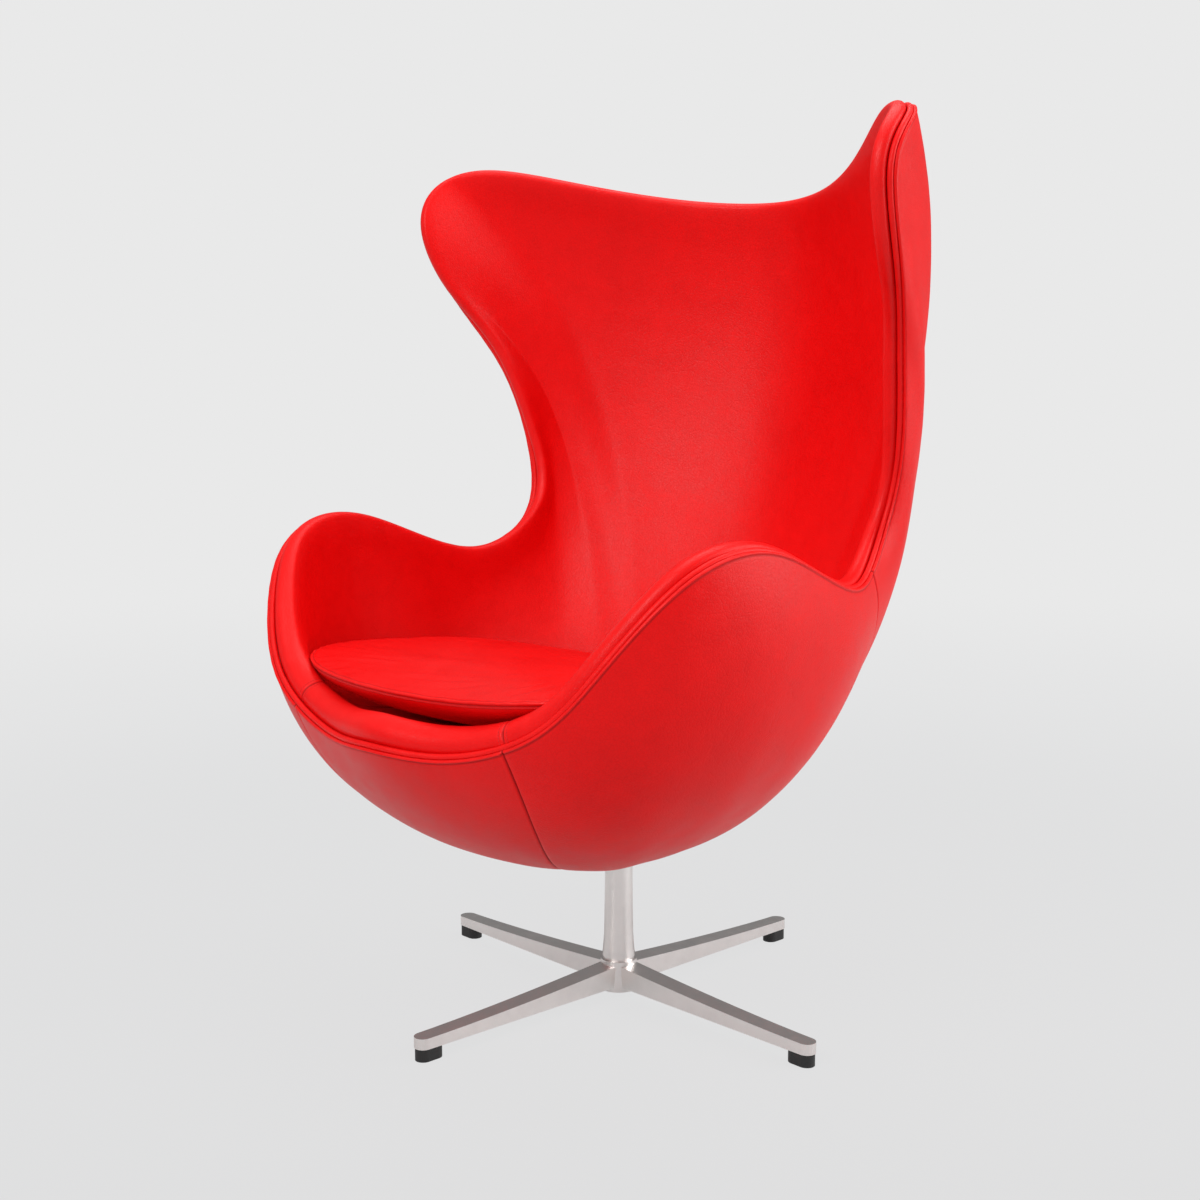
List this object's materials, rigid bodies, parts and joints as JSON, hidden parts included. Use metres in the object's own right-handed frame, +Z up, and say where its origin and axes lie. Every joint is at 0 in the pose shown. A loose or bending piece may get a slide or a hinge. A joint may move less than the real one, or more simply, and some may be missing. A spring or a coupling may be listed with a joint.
{
  "type": "winged swivel lounge chair",
  "caption": "Winged shell lounge chair in red leather with a welted rim and a loose seat cushion, on an aluminium star base that swivels and tilts.",
  "frame": {"origin": "middle of the chair's footprint box at floor level", "axes": "+Z up, the sitter faces -Y, +X to the sitter's left"},
  "size_m": [0.7826, 0.7503, 1.0695],
  "materials": {
    "leather": "smooth red grain leather, semi-gloss",
    "satin_aluminium": "satin polished cast aluminium",
    "steel": "bright zinc-plated steel",
    "black_steel": "black powder coat",
    "black_plastic": "black moulded plastic",
    "bush_plastic": "self-lubricating bearing plastic",
    "rubber": "hard black rubber",
    "plywood": "raw birch plywood",
    "shell_laminate": "rigid moulded shell, hidden under the upholstery",
    "foam": "upholstery foam, hidden under the leather"
  },
  "bodies": {
    "base": {"star_base": "satin_aluminium", "glides": "black_plastic", "glide_screws": "steel", "column_tube": "satin_aluminium", "hub_ring": "black_plastic", "hub_washer": "steel", "hub_nut": "steel", "lower_bush": "bush_plastic", "upper_bush": "bush_plastic", "thrust_washer": "bush_plastic"},
    "swivel": {"spindle": "steel", "retaining_ring": "steel", "tilt_yoke": "black_steel", "tilt_pin": "steel", "pin_clips": "steel", "tilt_spring": "steel", "spring_cup": "steel", "stop_buffers": "rubber"},
    "tension": {"tension_screw": "steel", "tension_knob": "black_plastic"},
    "shell": {"seat_bracket": "black_steel", "mounting_block": "plywood", "block_inserts": "steel", "bracket_bolts": "steel", "well_liner": "black_plastic", "shell_foot": "shell_laminate", "shell_core": "shell_laminate", "foam_padding": "foam", "seat_deck": "leather", "inner_front_cover": "leather", "inner_back_cover": "leather", "outer_front_cover": "leather", "outer_side_cover_left": "leather", "outer_side_cover_right": "leather", "outer_back_cover": "leather", "rim_welt": "leather", "underside_trim": "black_plastic"},
    "cushion": {"cushion_top": "leather", "cushion_bottom": "leather", "cushion_core": "foam"}
  },
  "joints": [
    {"name": "swivel_turn", "type": "hinge", "parent": "base", "child": "swivel", "pos_m": [0, 0.01675, 0.214], "axis": [0, 0, 1], "continuous": true},
    {"name": "backward_tilt", "type": "hinge", "parent": "swivel", "child": "shell", "pos_m": [0, -0.00725, 0.272], "axis": [-1, 0, 0], "range_deg": [0, 10], "stiffness_Nm_per_rad": 120, "springref_deg": -14.32, "deforming": ["tilt_spring"]},
    {"name": "tension_turn", "type": "hinge", "parent": "swivel", "child": "tension", "pos_m": [0, 0.05275, 0.205], "axis": [0, 0, 1], "range_deg": [0, 1440]},
    {"name": "cushion_lift", "type": "slide", "parent": "shell", "child": "cushion", "axis": [0, 0, 1], "range_m": [0, 0.12]}
  ]
}
